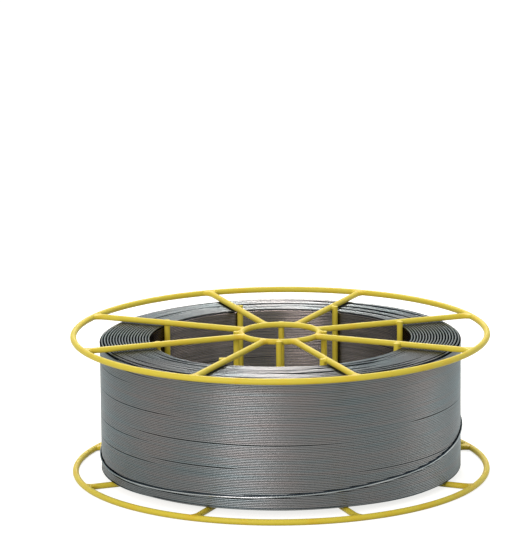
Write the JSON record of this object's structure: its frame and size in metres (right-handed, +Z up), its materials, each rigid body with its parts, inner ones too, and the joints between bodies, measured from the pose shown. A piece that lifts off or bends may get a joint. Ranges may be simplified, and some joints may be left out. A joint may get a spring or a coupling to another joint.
{
  "type": "wire basket spool of flux-cored welding wire",
  "caption": "Wire basket spool lying flat, wound nearly full with close layers of thin grey flux-cored welding wire between two flanges of rings and radial spokes.",
  "frame": {"origin": "middle of the spool on the floor, level with the underside of the lower flange", "axes": "+Z up along the spool's axis, from the lower flange to the upper one; +X and +Y each through a hub bar"},
  "size_m": [0.3, 0.3, 0.103],
  "materials": {
    "yellow_coated_wire": "smooth, slightly glossy plastic coating",
    "welding_wire": "bright drawn, satin"
  },
  "bodies": {
    "root": {"top_outer_ring": "yellow_coated_wire", "bottom_outer_ring": "yellow_coated_wire", "top_hub_ring": "yellow_coated_wire", "bottom_hub_ring": "yellow_coated_wire", "top_spoke_1": "yellow_coated_wire", "top_spoke_2": "yellow_coated_wire", "top_spoke_3": "yellow_coated_wire", "top_spoke_4": "yellow_coated_wire", "top_spoke_5": "yellow_coated_wire", "top_spoke_6": "yellow_coated_wire", "top_spoke_7": "yellow_coated_wire", "top_spoke_8": "yellow_coated_wire", "bottom_spoke_1": "yellow_coated_wire", "bottom_spoke_2": "yellow_coated_wire", "bottom_spoke_3": "yellow_coated_wire", "bottom_spoke_4": "yellow_coated_wire", "bottom_spoke_5": "yellow_coated_wire", "bottom_spoke_6": "yellow_coated_wire", "bottom_spoke_7": "yellow_coated_wire", "bottom_spoke_8": "yellow_coated_wire", "drum_bar_1": "yellow_coated_wire", "drum_bar_2": "yellow_coated_wire", "drum_bar_3": "yellow_coated_wire", "drum_bar_4": "yellow_coated_wire", "drum_bar_5": "yellow_coated_wire", "drum_bar_6": "yellow_coated_wire", "drum_bar_7": "yellow_coated_wire", "drum_bar_8": "yellow_coated_wire", "hub_bar_1": "yellow_coated_wire", "hub_bar_2": "yellow_coated_wire", "hub_bar_3": "yellow_coated_wire", "hub_bar_4": "yellow_coated_wire", "wire_coil": "welding_wire"}
  },
  "joints": []
}
